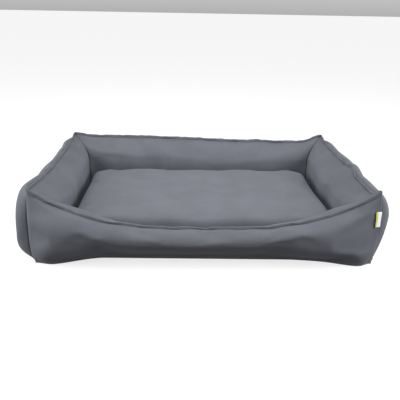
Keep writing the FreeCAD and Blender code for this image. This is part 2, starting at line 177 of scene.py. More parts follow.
def place(piece: bpy.types.Object, material: bpy.types.Material, body: str, slot: str,
          *nodes: str) -> bpy.types.Object:
    """Dresses a piece, rides it on a body and lets it stand for CAD nodes.

    Args:
        piece: The finished piece.
        material: Its finish.
        body: The body that it moves with.
        slot: The record's material slot; not used.
        nodes: CAD nodes that it replaces.

    Returns:
        The same piece.
    """
    piece.data.materials.clear()
    piece.data.materials.append(material)
    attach(piece, body)
    if nodes:
        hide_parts(*nodes)
    LOG.info("%s: %d points, on %s", piece.name, len(piece.data.vertices), body)
    return piece


def dress(node: str, material: bpy.types.Material) -> None:
    """Gives a CAD node its finished material."""
    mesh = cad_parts[node].data
    mesh.materials.clear()
    mesh.materials.append(material)


def log_cut(piece: bpy.types.Object, flat: tuple[float, float]) -> None:
    """Logs the flat size that a cloth is cut to."""
    LOG.info("%s is cut %.0f x %.0f mm", piece.name, flat[0] * 1000, flat[1] * 1000)


def closed_ends(rings: Array) -> tuple[Array, list]:
    """Joins (n, m, 3) rings of points into a tube and closes both ends with a fan.

    Returns:
        Points and faces of a closed surface.
    """
    count, sides = rings.shape[:2]
    points = np.concatenate([rings.reshape(-1, 3), rings[0].mean(0)[None], rings[-1].mean(0)[None]])
    k = np.arange(sides)
    after, end = (k + 1) % sides, (count - 1) * sides
    first, last = np.full(sides, count * sides), np.full(sides, count * sides + 1)
    caps = np.concatenate([np.stack([after, k, first], 1), np.stack([end + k, end + after, last], 1)])
    return points, grid_faces(count, sides, round_columns=True).tolist() + caps.tolist()


def tube_along(path: Array, across: Array, up: Array, section: Array) -> tuple[Array, list]:
    """Carries a closed section along a path and closes both ends with a fan.

    Args:
        path: (n, 3) points of the centreline.
        across: (n, 3) directions of the section's first coordinate.
        up: (n, 3) directions of its second coordinate.
        section: (n, m, 2) section points at each place, or (m, 2) for one section throughout.

    Returns:
        Points and faces of a closed surface. A point is path + across * a + up * b.
    """
    if section.ndim == 2:
        section = np.broadcast_to(section, (len(path), *section.shape))
    rings = path[:, None] + across[:, None] * section[..., :1] + up[:, None] * section[..., 1:]
    return closed_ends(rings)


def scatter(points: Array, faces: Array, frames: Array) -> tuple[Array, Array]:
    """Repeats one small shape at many places.

    Args:
        points: (m, 3) points of the shape.
        faces: (k, 4) faces of the shape.
        frames: (n, 4, 3) places: an origin and the directions of the shape's three axes.

    Returns:
        Points and faces of all the copies.
    """
    every = frames[:, None, 0] + np.einsum("mk,nkc->nmc", points, frames[:, 1:])
    shift = (np.arange(len(frames)) * len(points))[:, None, None]
    return every.reshape(-1, 3), (faces[None] + shift).reshape(-1, faces.shape[1])


# ---------------------------------------------------------------- cloth

@dataclass(frozen=True)
class Stuffing:
    """How hard a fabric case is filled.

    Attributes:
        pressure: Outward push of the fibre.
        growth: Spare cloth, as a share of its length, which gathers into soft puckers.
        swell: Furthest that a point may move, in metres.
        frames: Steps of the simulation.
        stiffness: Resistance of the cloth to folding.
    """

    pressure: float
    growth: float
    swell: float
    frames: int = 20
    stiffness: float = 1.5

    def fill(self, piece: bpy.types.Object, held: Array) -> Array:
        """Swells the closed case with the cloth solver and returns its new points.

        Args:
            piece: A closed mesh without modifiers.
            held: Numbers of the points that seams hold still.

        Returns:
            (n, 3) points, none further than the swell from where it began.
        """
        start = coordinates(piece)
        group = piece.vertex_groups.new(name="held")
        group.add(held.tolist(), 1.0, "REPLACE")
        cloth = piece.modifiers.new("filling", "CLOTH")
        settings = cloth.settings
        settings.quality, settings.mass, settings.time_scale = 5, 0.25, 0.8
        settings.tension_stiffness = settings.compression_stiffness = 18.0
        settings.shear_stiffness, settings.bending_stiffness = 8.0, self.stiffness
        settings.tension_damping = settings.compression_damping = 8.0
        settings.air_damping = 4.0
        settings.use_pressure, settings.uniform_pressure_force = True, self.pressure
        settings.shrink_min = -self.growth
        settings.effector_weights.gravity = 0.0
        settings.vertex_group_mass = group.name
        cloth.collision_settings.use_collision = False
        cloth.collision_settings.use_self_collision = False
        cloth.point_cache.frame_start, cloth.point_cache.frame_end = 1, self.frames
        scene = bpy.context.scene
        for step in range(1, self.frames + 1):
            scene.frame_set(step)
        seen = piece.evaluated_get(bpy.context.evaluated_depsgraph_get()).to_mesh()
        flat = np.zeros(len(seen.vertices) * 3, np.float32)
        seen.vertices.foreach_get("co", flat)
        piece.to_mesh_clear()
        piece.modifiers.remove(cloth)
        piece.vertex_groups.clear()
        scene.frame_set(1)
        move = flat.reshape(-1, 3) - start
        far = np.linalg.norm(move, axis=1, keepdims=True)
        held_back = self.swell * np.tanh(far / self.swell) / np.maximum(far, 1e-9)
        return start + move * held_back


# ---------------------------------------------------------------- finishes

def linear(colour: str) -> tuple[float, float, float, float]:
    """Turns an sRGB hex colour into the linear colour that shaders use."""
    parts = [int(colour[i:i + 2], 16) / 255 for i in (1, 3, 5)]
    return (*(p / 12.92 if p <= 0.04045 else ((p + 0.055) / 1.055) ** 2.4 for p in parts), 1.0)


def add_node(tree: bpy.types.NodeTree, kind: str, inputs: dict | None = None, **settings) -> bpy.types.Node:
    """Adds a shader node with its settings, values and links.

    Args:
        tree: The material's node tree.
        kind: The node's type name.
        inputs: Socket name or number to a value, or to an output socket that is linked to it.
        settings: Properties of the node itself.

    Returns:
        The new node.
    """
    node = tree.nodes.new(kind)
    for key, value in settings.items():
        setattr(node, key, value)
    for key, value in (inputs or {}).items():
        if isinstance(value, bpy.types.NodeSocket):
            tree.links.new(value, node.inputs[key])
        else:
            node.inputs[key].default_value = value
    return node


def empty_material(name: str) -> tuple[bpy.types.Material, bpy.types.NodeTree]:
    """Makes a material whose node tree is empty."""
    material = bpy.data.materials.new(name)
    material.use_nodes = True
    material.node_tree.nodes.clear()
    return material, material.node_tree


def ramp(tree: bpy.types.NodeTree, factor: bpy.types.NodeSocket, low: str, high: str,
         start: float = 0.35, end: float = 0.65) -> bpy.types.NodeSocket:
    """Adds a two-colour ramp and returns its colour socket."""
    node = add_node(tree, "ShaderNodeValToRGB", {"Fac": factor})
    node.color_ramp.elements[0].position, node.color_ramp.elements[1].position = start, end
    node.color_ramp.elements[0].color, node.color_ramp.elements[1].color = linear(low), linear(high)
    return node.outputs["Color"]


def noise(tree: bpy.types.NodeTree, vector: bpy.types.NodeSocket, size: float, detail: float,
          **inputs: float) -> bpy.types.NodeSocket:
    """Adds a noise whose features have a size in metres and returns its value socket."""
    node = add_node(tree, "ShaderNodeTexNoise",
                    {"Vector": vector, "Scale": 1 / size, "Detail": detail, **inputs})
    return node.outputs["Fac"]


def mix(tree: bpy.types.NodeTree, share: float, first: bpy.types.NodeSocket,
        second: bpy.types.NodeSocket) -> bpy.types.NodeSocket:
    """Blends two values, with a share of the second, and returns the result's socket."""
    node = add_node(tree, "ShaderNodeMix", {"Factor": share, "A": first, "B": second}, data_type="FLOAT")
    return node.outputs["Result"]


def surface(tree: bpy.types.NodeTree, height: bpy.types.NodeSocket, strength: float, depth: float,
            inputs: dict) -> None:
    """Ends a material with its relief, its shader and the output.

    Args:
        tree: The material's node tree.
        height: Value that raises the surface.
        strength: Share of the relief that shows.
        depth: Depth of the relief, in metres.
        inputs: The shader's other inputs.
    """
    relief = add_node(tree, "ShaderNodeBump", {"Height": height, "Strength": strength, "Distance": depth})
    shader = add_node(tree, "ShaderNodeBsdfPrincipled", {**inputs, "Normal": relief.outputs["Normal"]})
    add_node(tree, "ShaderNodeOutputMaterial", {"Surface": shader.outputs["BSDF"]})


@dataclass(frozen=True)
class Microsuede:
    """Brushed polyester microsuede: a very short nap, so it is matt with a soft pale edge.

    Attributes:
        name: The material's name.
        deep: Colour where the nap lies away from the eye, sRGB hex.
        pale: Colour where it is brushed towards the eye.
        nap: Size of the brushed clouds, in metres.
        grain: Size of the nap's grain; the real fibre is finer than this and would not show.
        slub: Size of the cloth's uneven threads under the nap.
        sheen: Strength of the pale edge that the upright fibres give.
    """

    name: str
    deep: str
    pale: str
    nap: float = 0.085
    grain: float = 0.0011
    slub: float = 0.006
    sheen: float = 0.12

    def build(self) -> bpy.types.Material:
        """Returns the node material; its patterns are laid out in Object coordinates."""
        material, tree = empty_material(self.name)
        place_in = add_node(tree, "ShaderNodeTexCoord").outputs["Object"]
        clouds = noise(tree, place_in, self.nap, 3.0, Roughness=0.55, Distortion=0.4)
        grain = noise(tree, place_in, self.grain, 2.0)
        colour = ramp(tree, mix(tree, 0.5, clouds, grain), self.deep, self.pale, 0.25, 0.75)
        slubs = noise(tree, place_in, self.slub, 2.0)
        rough = add_node(tree, "ShaderNodeMapRange", {"Value": clouds, "From Min": 0.3, "From Max": 0.7,
                                                      "To Min": 0.86, "To Max": 0.97})
        surface(tree, mix(tree, 0.3, grain, slubs), 0.35, 0.0006, {
            "Base Color": colour, "Roughness": rough.outputs["Result"], "Specular IOR Level": 0.18,
            "Sheen Weight": self.sheen, "Sheen Roughness": 0.45, "Sheen Tint": linear("#c9cbd2")})
        return material


@dataclass(frozen=True)
class WovenCloth:
    """Plain woven polyester: two sets of threads that cross, dark in the gaps between them.

    Attributes:
        name: The material's name.
        thread: Colour of a thread's top, sRGB hex.
        gap: Colour between the threads.
        spacing: Thread spacing, in metres.
        roughness: Roughness of the threads.
        turned: Turn of the weave about the X axis, in radians, for cloth that isn't level.
    """

    name: str
    thread: str
    gap: str
    spacing: float = 0.0016
    roughness: float = 0.8
    turned: float = 0.0

    def build(self) -> bpy.types.Material:
        """Returns the node material; threads run along X and across it."""
        material, tree = empty_material(self.name)
        place_in = add_node(tree, "ShaderNodeTexCoord").outputs["Object"]
        turned = add_node(tree, "ShaderNodeMapping", {"Vector": place_in, "Rotation": (self.turned, 0, 0)})
        scale = math.tau / (20 * self.spacing)
        warp, weft = (add_node(tree, "ShaderNodeTexWave", {"Vector": turned.outputs["Vector"], "Scale": scale,
                                                           "Distortion": 0.3, "Detail": 1.0},
                               bands_direction=way) for way in ("X", "Y"))
        threads = mix(tree, 0.5, warp.outputs["Fac"], weft.outputs["Fac"])
        colour = ramp(tree, threads, self.gap, self.thread, 0.2, 0.7)
        surface(tree, threads, 0.5, 0.25 * self.spacing, {
            "Base Color": colour, "Roughness": self.roughness, "Specular IOR Level": 0.3})
        return material


@dataclass(frozen=True)
class Solid:
    """A solid finish with fine mottling: moulded plastic, nylon thread, satin or die-cast metal.

    Attributes:
        name: The material's name.
        colour: Main colour, sRGB hex.
        shade: Colour of the mottling.
        grain: Size of the mottling, in metres.
        roughness: Mean roughness.
        metallic: 1 for bare or plated metal.
        relief: Depth of the surface's unevenness, in metres.
        sheen: Strength of the pale edge of fibres.
    """

    name: str
    colour: str
    shade: str
    grain: float = 0.002
    roughness: float = 0.5
    metallic: float = 0.0
    relief: float = 0.00005
    sheen: float = 0.0

    def build(self) -> bpy.types.Material:
        """Returns the node material, mottled in Object coordinates."""
        material, tree = empty_material(self.name)
        place_in = add_node(tree, "ShaderNodeTexCoord").outputs["Object"]
        mottle = noise(tree, place_in, self.grain, 3.0)
        colour = ramp(tree, mottle, self.shade, self.colour, 0.3, 0.7)
        rough = add_node(tree, "ShaderNodeMapRange", {"Value": mottle, "To Min": self.roughness * 0.85,
                                                      "To Max": min(1.0, self.roughness * 1.15)})
        surface(tree, mottle, 0.6, self.relief, {
            "Base Color": colour, "Roughness": rough.outputs["Result"], "Metallic": self.metallic,
            "Sheen Weight": self.sheen})
        return material


@dataclass(frozen=True)
class SatinRibbon:
    """White woven satin label ribbon with one plain green stripe along its folded edge.

    Attributes:
        name: The material's name.
        white: Ground colour, sRGB hex.
        stripe: Stripe colour.
        split: Share of the width, from the seam, that is white.
        thread: Thread spacing, coarser than real satin so that it shows.
    """

    name: str = "satin_label_ribbon"
    white: str = "#e9e9e4"
    stripe: str = "#c3c45c"
    split: float = 0.66
    thread: float = 0.0007

    def build(self) -> bpy.types.Material:
        """Returns the node material; the stripe and the threads follow the ribbon's own UV map."""
        material, tree = empty_material(self.name)
        pattern = add_node(tree, "ShaderNodeTexCoord").outputs["UV"]
        parts = add_node(tree, "ShaderNodeSeparateXYZ", {"Vector": pattern})
        side = add_node(tree, "ShaderNodeMath", {0: parts.outputs["X"], 1: self.split},
                        operation="GREATER_THAN")
        colour = ramp(tree, side.outputs["Value"], self.white, self.stripe, 0.45, 0.55)
        threads = add_node(tree, "ShaderNodeTexWave", {"Vector": pattern, "Scale": 9.0}, bands_direction="Y")
        surface(tree, threads.outputs["Fac"], 0.3, 0.2 * self.thread, {
            "Base Color": colour, "Roughness": 0.42, "Sheen Weight": 0.2})
        return material


# ---------------------------------------------------------------- padded walls

class Side(Enum):
    """The four walls, in order round the bed, with the direction each faces in degrees from +X."""

    FRONT = -90
    RIGHT = 0
    BACK = 90
    LEFT = 180

    @property
    def word(self) -> str:
        """The wall's name as the CAD nodes have it."""
        return self.name.lower()

    @property
    def outward(self) -> Array:
        """Unit vector that points away from the bed."""
        turn = math.radians(self.value)
        return np.array([round(math.cos(turn)), round(math.sin(turn)), 0.0])

    @property
    def along(self) -> Array:
        """Unit vector along the wall, anticlockwise seen from above."""
        x, y, _ = self.outward
        return np.array([-y, x, 0.0])


@dataclass
class Rim:
    """The line on which the walls' inner and outer panels are sewn together.

    Attributes:
        half_x: Half the rim's length.
        half_y: Half the rim's depth.
        height: Height of the seam at the corners.
        front_dip: How far the seam sinks at the middle of the open front.
        back_dip: How far it sinks along the back.
        right_dip: How far it sinks along the right side.
        left_dip: How far it sinks along the left side.
        ear: Length over which the back rim comes down from its corners.
    """

    half_x: float
    half_y: float
    height: float
    front_dip: float = 0.110
    back_dip: float = 0.0175
    right_dip: float = 0.019
    left_dip: float = 0.024
    ear: float = 0.045

    def half(self, side: Side) -> float:
        """Half the length of a wall's rim."""
        return self.half_x if side in (Side.FRONT, Side.BACK) else self.half_y

    def reach(self, side: Side) -> float:
        """Distance of a wall's rim from the middle of the bed."""
        return self.half_y if side in (Side.FRONT, Side.BACK) else self.half_x

    def drop(self, side: Side, t: Array) -> Array:
        """How far the seam has sunk below the corners, for t from -1 to 1 along the wall.

        The front sinks as 1 - |t|^3. The back and the sides sink within a hand's width of the corners
        and stay nearly level between them; the back is lower on its right, and the right side slumps
        towards the front.
        """
        far = np.abs(t)
        if side is Side.FRONT:
            return self.front_dip * (1 - far ** 3) + 0.0010 * ripple(t, (0.31, 0.19), 0.4) * (1 - far ** 8)
        d = self.half(side) * (1 - far)
        level = 1 - np.exp(-(d / self.ear) ** 2.2)
        if side is Side.BACK:
            sink = self.back_dip - 0.0085 * np.tanh(t / 0.4) - 0.003 * bump(t, -0.47, 0.05)
            return (sink + 0.002 * bump(t, 0.30, 0.02)) * level
        if side is Side.RIGHT:
            slump = 0.010 * ease((-t - 0.15) / 0.20) - 0.008 * bump(t, -0.13, 0.09)
            return (self.right_dip + slump) * np.where(t < 0, level, 1 - far ** 6)
        return self.left_dip * np.where(t > 0, (1 - far ** 2) ** 1.5, 1 - far ** 4)

    def bow(self, side: Side, t: Array) -> Array:
        """Outward offset of the seam from the straight rim, with a small waver from the sewing."""
        far = np.abs(t)
        calm = 1 - far ** 10
        waver = 0.0009 * ripple(t * self.half(side), (0.23, 0.137, 0.091), side.value / 31) * calm
        if side in (Side.LEFT, Side.RIGHT):
            kink = 0.004 * bump(t, -0.13, 0.09) if side is Side.RIGHT else 0.0
            return waver + 0.002 * (1 - far ** 2) + kink
        return waver


@dataclass
class WallSection:
    """Cross-section of a padded wall as an offset from the rim and a height, all in metres.

    Attributes:
        outer_bulge: How far the outer panel swells beyond the rim.
        inner_bulge: How far the inner panel swells into the bed.
        corner_outer: Outer panel's offset on the corner seams.
        corner_inner: Inner panel's offset on the corner creases.
        inner_belly: Height of the inner panel's fullest part, as a share of the rim's height.
        inner_foot: Offset of the inner panel's foot.
        outer_foot: Offset of the outer panel's foot at the corners.
        tuck: How much further the foot is tucked in along the front and the sides.
        back_tuck: How much further it is tucked in along the back, where the zip is.
        pinch: Length over which a wall swells from its corner seam to its full girth.
        floor: Height of the seams at the floor.
    """

    outer_bulge: float = 0.052
    inner_bulge: float = 0.078
    corner_outer: float = 0.004
    corner_inner: float = 0.064
    inner_belly: float = 0.54
    inner_foot: float = 0.060
    outer_foot: float = 0.008
    tuck: float = 0.026
    back_tuck: float = 0.0097
    pinch: float = 0.11
    floor: float = 0.0028

    def swell(self, d: Array, pinch: Array | float) -> Array:
        """Share of the full girth at a distance from the corner: a quarter wave, then level."""
        return np.sin(math.pi / 2 * np.clip(d / pinch, 0, 1)) ** 0.85

    def habit(self, side: Side, t: Array, d: Array) -> dict[str, Array]:
        """How the outer panel hangs along a wall, since no two corners are stuffed alike.

        Args:
            side: The wall.
            t: Place along the wall, -1 to 1.
            d: Distance from the nearest corner.

        Returns:
            One value per column: the length over which the wall swells from its corner, the height of
            its fullest part as a share of the rim's, the power with which it draws in below that, the
            offset of its foot and how far it rises beside the rim, in radians.
        """
        right = t > 0 if side is Side.FRONT else np.full(t.shape, side is Side.RIGHT)
        near = 1 - ease((d - 0.04) / np.where(right, 0.30, 0.20))
        at_front = near * (1.0 if side is Side.FRONT else (t < 0) if side is Side.RIGHT else (t > 0))
        pinch, belly, power = 0.0 * t + self.pinch, 0.0 * t + 0.60, 0.0 * t + 2.0
        rise = np.full(t.shape, math.radians(4 if side is Side.BACK else 24))
        foot = -self.outer_foot - self.back_tuck * ease((d - 0.01) / 0.06)
        if side is Side.FRONT:
            belly, power = 0.70 - 0.12 * near, 1.45 + 3.2 * near
            pinch = np.where(right, 0.22, 0.16)
        elif side is Side.RIGHT:
            belly, power = belly + 0.12 * at_front, power - 0.3 * at_front
            pinch = np.where(t < 0, 0.12, self.pinch)
        elif side is Side.LEFT:
            belly, power = belly - 0.08 * at_front, power + 2.5 * at_front
            pinch = np.where(t > 0, 0.080, self.pinch)
        if side is not Side.BACK:
            lean = 1 - 0.30 * t if side is Side.FRONT else 1.0
            push = np.where(right, 0.022, 0.014) * bump(d, 0.06, 0.045) * (at_front > 0)
            foot = -self.outer_foot - self.tuck * lean * ease((d - 0.04) / np.where(right, 0.20, 0.13)) + push
        return {"pinch": pinch, "belly": belly, "power": power, "foot": foot, "rise": rise}

    def outer(self, v: Array, d: Array, top: Array, skirt: Array, extra: Array,
              habit: dict[str, Array]) -> tuple[Array, Array]:
        """Outer panel from the rim, v = 0, to the floor, v = 1.

        An ellipse first rises a little beside the rim and then reaches the belly. Below it the offset
        draws in as 1 - s^power of the way down, and the last tenth is a straight skirt to the floor.

        Args:
            v: Share of the way down, one per row.
            d: Distance from the nearest corner, one per column.
            top: Height of the rim, one per column.
            skirt: Height at which the straight skirt starts, one per column.
            extra: Added girth, one per column.
            habit: The values of habit().

        Returns:
            Offsets and heights, rows by columns.
        """
        v, d, top, skirt = v[:, None], d[None], top[None], skirt[None]
        full = self.swell(d, habit["pinch"][None])
        bulge = self.corner_outer + (self.outer_bulge - self.corner_outer + extra[None]) * full
        belly = habit["belly"][None] * top
        foot = habit["foot"][None]
        first = math.radians(10) - (math.radians(10) + habit["rise"][None]) * full
        a = first + (math.pi / 2 - first) * np.clip(v / 0.5, 0, 1)
        upper = (np.sin(a) - np.sin(first)) / (1 - np.sin(first))
        s = np.clip((v - 0.5) / 0.4, 0, 1)
        offset = np.where(v < 0.5, bulge * upper, foot + (bulge - foot) * (1 - s ** habit["power"][None]))
        height = np.where(v < 0.5, belly + (top - belly) * np.cos(a) / np.cos(first),
                          belly - (belly - skirt) * s)
        straight = np.clip((v - 0.9) / 0.1, 0, 1)
        return offset, height - (skirt - self.floor) * straight

    def inner(self, v: Array, d: Array, top: Array, extra: Array, flat_top: float) -> tuple[Array, Array]:
        """Inner panel from the rim, v = 0, to the floor, v = 1, as two quarter ellipses.

        Args:
            v: Share of the way down, one per row.
            d: Distance from the nearest corner, one per column.
            top: Height of the rim, one per column.
            extra: Added girth, one per column.
            flat_top: 1 where the panel leaves the rim level, as on the low front, and 0 where it slopes.

        Returns:
            Offsets, which are negative, and heights, rows by columns.
        """
        v, d, top = v[:, None], d[None], top[None]
        full = self.swell(d, self.pinch)
        bulge = -self.corner_inner - (self.inner_bulge - self.corner_inner + extra[None]) * full
        belly = self.inner_belly * top * np.ones_like(v)
        first, fall = np.radians(34 - (10 + 30 * flat_top) * full), math.radians(80)
        a = first + (math.pi / 2 - first) * np.clip(v / 0.55, 0, 1)
        upper = (np.sin(a) - np.sin(first)) / (1 - np.sin(first))
        b = fall * np.clip((v - 0.55) / 0.45, 0, 1)
        lower = (np.cos(b) - math.cos(fall)) / (1 - math.cos(fall))
        foot = -self.inner_foot
        offset = np.where(v < 0.55, bulge * upper, foot + (bulge - foot) * lower)
        height = np.where(v < 0.55, belly + (top - belly) * np.cos(a) / np.cos(first),
                          belly - (belly - self.floor) * np.sin(b) / math.sin(fall))
        return offset, height


@dataclass
class PaddedWalls:
    """Four stuffed walls, worked out as one closed ring, stuffed together and then cut into panels.

    Attributes:
        rim: The rim's line.
        section: The walls' cross-section.
        suede: Finish of the panels.
        fibre: Finish of the stuffing.
        cell: Size of a mesh cell before it is refined, in metres.
        outer_rows: Rows of cells down the outer panel.
        inner_rows: Rows down the inner panel.
        under_rows: Rows across the bottom.
        cloth: Thickness of the fabric.
        fill_inset: How far inside the cloth the filling ends.
        fill_floor: Height of the filling's underside.
        fill_end: How far the filling stands back from its mitres.
        most_in: How much further in than its bulge an inner panel may go before it is held back.
    """

    rim: Rim
    section: WallSection
    suede: bpy.types.Material
    fibre: bpy.types.Material
    cell: float = 0.009
    outer_rows: int = 32
    inner_rows: int = 28
    under_rows: int = 6
    cloth: float = 0.0016
    fill_inset: float = 0.0095
    fill_floor: float = 0.014
    fill_end: float = 0.004
    most_in: float = 0.003

    def __post_init__(self) -> None:
        """Works out how many columns each wall has and where it starts in the ring."""
        self.counts = {side: 2 * round(self.rim.half(side) / self.cell) for side in Side}
        starts = np.cumsum([0, *self.counts.values()])
        self.starts = dict(zip(Side, starts[:-1].tolist()))
        self.columns = int(starts[-1])
        self.rows = self.outer_rows + self.inner_rows + self.under_rows
        self.ring = np.zeros((self.rows, self.columns, 3))

    def wall_points(self, side: Side) -> Array:
        """Works out one wall of the ring before it is stuffed.

        A point is the wall's outward direction times (reach + offset), plus its long direction times
        t * (half + offset), so that the two walls of a corner meet on its mitre.

        Args:
            side: The wall.

        Returns:
            (rows, columns of the wall, 3) points: up to the rim from the outer foot, down the inner
            panel and back under the wall.
        """
        t = -1 + 2 * np.arange(self.counts[side]) / self.counts[side]
        half = self.rim.half(side)
        d = half * (1 - np.abs(t))
        top = self.rim.height - self.rim.drop(side, t)
        waver = self.rim.bow(side, t)
        calm = ease(d / 0.12)
        outer_extra = 0.004 * ripple(t * half, (0.41, 0.26, 0.17), side.value / 17) * calm
        inner_extra = 0.002 * ripple(t * half, (0.37, 0.21), side.value / 23) * calm
        skirt = 0.006 + (0.028 * ease(d / 0.06) if side is Side.BACK else 0.0 * d)
        v_out = np.linspace(1, 0, self.outer_rows + 1)
        v_in = np.linspace(0, 1, self.inner_rows + 1)[1:]
        habit = self.section.habit(side, t, d)
        out, out_z = self.section.outer(v_out, d, top, skirt, outer_extra, habit)
        flat_top = 1.0 if side is Side.FRONT else 0.0
        inn, inn_z = self.section.inner(v_in, d, top, inner_extra, flat_top)
        if side is Side.BACK:
            dent = 0.004 * bump(t, 0.30, 0.018)[None] * np.sin(math.pi * v_in)[:, None]
            inn = inn + dent
        across = np.linspace(0, 1, self.under_rows + 1)[1:-1, None]
        under = inn[-1:] + (out[:1] - inn[-1:]) * across
        under_z = np.full_like(under, self.section.floor)
        offset = np.concatenate([out, inn, under])
        height = np.concatenate([out_z, inn_z, under_z])
        fade = np.clip((height - 0.3 * top) / (0.7 * top), 0, 1)
        offset = offset + waver * fade
        lengthwise = t * (half + offset)
        reach = self.rim.reach(side) + offset
        return (reach[..., None] * side.outward + lengthwise[..., None] * side.along
                + height[..., None] * np.array([0.0, 0.0, 1.0]))

    def held_rows(self) -> Array:
        """Marks the points that the seams hold: the rim, the corner seams, the skirt and the bottom."""
        held = np.zeros((self.rows, self.columns), bool)
        held[self.outer_rows] = True
        held[:2] = True
        back = self.starts[Side.BACK]
        held[:5, back:back + self.counts[Side.BACK]] = True
        held[self.outer_rows + self.inner_rows - 1:] = True
        held[:, list(self.starts.values())] = True
        return held

    def keep_clear(self, points: Array) -> Array:
        """Keeps each stuffed wall on its own side of the mitres, off the floor and off the cushion.

        Args:
            points: (rows, columns, 3) stuffed points.

        Returns:
            The points with their lengthwise place held inside the mitre, none below the floor seams,
            and the inner panels softly held a little way beyond their bulge.
        """
        give = 0.006
        result = points.copy()
        for side, start in self.starts.items():
            part = result[:, start:start + self.counts[side]]
            offset = part @ side.outward - self.rim.reach(side)
            lengthwise = part @ side.along
            beyond = np.maximum(-offset - (self.section.inner_bulge + self.most_in), 0.0)
            offset = offset + beyond - give * np.tanh(beyond / give)
            most = self.rim.half(side) + offset
            lengthwise = np.clip(lengthwise, -most, most)
            part[..., :2] = ((self.rim.reach(side) + offset)[..., None] * side.outward
                             + lengthwise[..., None] * side.along)[..., :2]
            part[..., 2] = np.maximum(part[..., 2], self.section.floor)
        return result

    def shape(self) -> None:
        """Makes the ring, stuffs it and keeps its points."""
        self.ring = np.concatenate([self.wall_points(side) for side in Side], axis=1)
        case = make_piece("wall_case", self.ring.reshape(-1, 3),
                          grid_faces(self.rows, self.columns, True, True)[:, ::-1])
        held = np.flatnonzero(self.held_rows().ravel())
        stuffed = Stuffing(pressure=3.0, growth=0.003, swell=0.007, stiffness=4.0).fill(case, held)
        bpy.data.objects.remove(case)
        self.ring = self.keep_clear(stuffed.reshape(self.rows, self.columns, 3))

    def columns_of(self, side: Side) -> Array:
        """Returns a wall's column numbers from corner to corner, both included."""
        start = self.starts[side]
        return np.arange(start, start + self.counts[side] + 1) % self.columns

    def rim_line(self, side: Side) -> Array:
        """Returns the sewn rim of one wall as a path of points."""
        return self.ring[self.outer_rows, self.columns_of(side)]

    def foot_line(self, side: Side) -> Array:
        """Returns the foot of a wall's outer panel as a path of points."""
        return self.ring[0, self.columns_of(side)]

    def panel(self, side: Side, outer: bool) -> bpy.types.Object:
        """Args:
            side: The wall.
            outer: Whether it is the outer panel or the inner one.

        Returns:
            The panel.
        """
        rows = np.arange(0, self.outer_rows + 1) if outer else np.arange(
            self.outer_rows, self.outer_rows + self.inner_rows + 1)
        patch = self.ring[np.ix_(rows, self.columns_of(side))]
        tall, wide = len(rows), patch.shape[1]
        down = np.linspace(0, running_length(patch[:, wide // 2])[-1], tall)
        along = running_length(patch[tall // 2])
        uv = np.stack(np.broadcast_arrays(along[None], down[:, None]), -1)
        word = "outer" if outer else "inner"
        piece = make_piece(f"{word}_suede_{side.word}", patch.reshape(-1, 3),
                           grid_faces(tall, wide), uv.reshape(-1, 2))
        refine(piece)
        thicken(piece, self.cloth)
        place(piece, self.suede, "bed", "cover_suede", f"{word}_panel_{side.word}")
        widths = [running_length(row)[-1] for row in patch[::4]]
        flat = (round(float(np.mean(widths)), 3), round(float(down[-1]), 3))
        log_cut(piece, flat)
        return piece

    def stuffing(self, side: Side) -> bpy.types.Object:
        """Makes the fibre filling of one wall: the stuffed wall shrunk towards its middle.

        Args:
            side: The wall.

        Returns:
            The filling, closed at both mitres.
        """
        patch = self.ring[:, self.columns_of(side)][:, ::2]
        middle = patch.mean(0, keepdims=True)
        away = patch - middle
        far = np.linalg.norm(away, axis=2, keepdims=True)
        patch = middle + away * np.clip((far - self.fill_inset) / np.maximum(far, 1e-6), 0.2, 1)
        patch[..., 2] = np.maximum(patch[..., 2], self.fill_floor)
        if side is Side.BACK:
            beyond = patch @ side.outward - self.rim.reach(side) - self.zip_room(patch[..., 2])
            patch = patch - np.maximum(beyond, 0)[..., None] * side.outward
        stand_back = side.along * np.linspace(self.fill_end, -self.fill_end, patch.shape[1])[:, None]
        piece = make_piece(f"fibre_{side.word}", *closed_ends(np.swapaxes(patch + stand_back[None], 0, 1)))
        place(piece, self.fibre, "bed", "fibre_fill", f"bolster_fill_{side.word}")
        return piece

    def zip_room(self, z: Array) -> Array:
        """Furthest offset of the back filling at a height, which leaves room for the zip in the skirt."""
        zip_top, behind_skirt, slope = 0.038, 0.010, 1.2
        foot = self.section.outer_foot + self.section.back_tuck
        return -foot - behind_skirt + slope * np.maximum(z - zip_top, 0)

    def build(self) -> None:
        """Builds the stuffed ring and cuts its panels and fillings."""
        self.shape()
        for side in Side:
            self.stuffing(side)
            self.panel(side, outer=True)
            self.panel(side, outer=False)


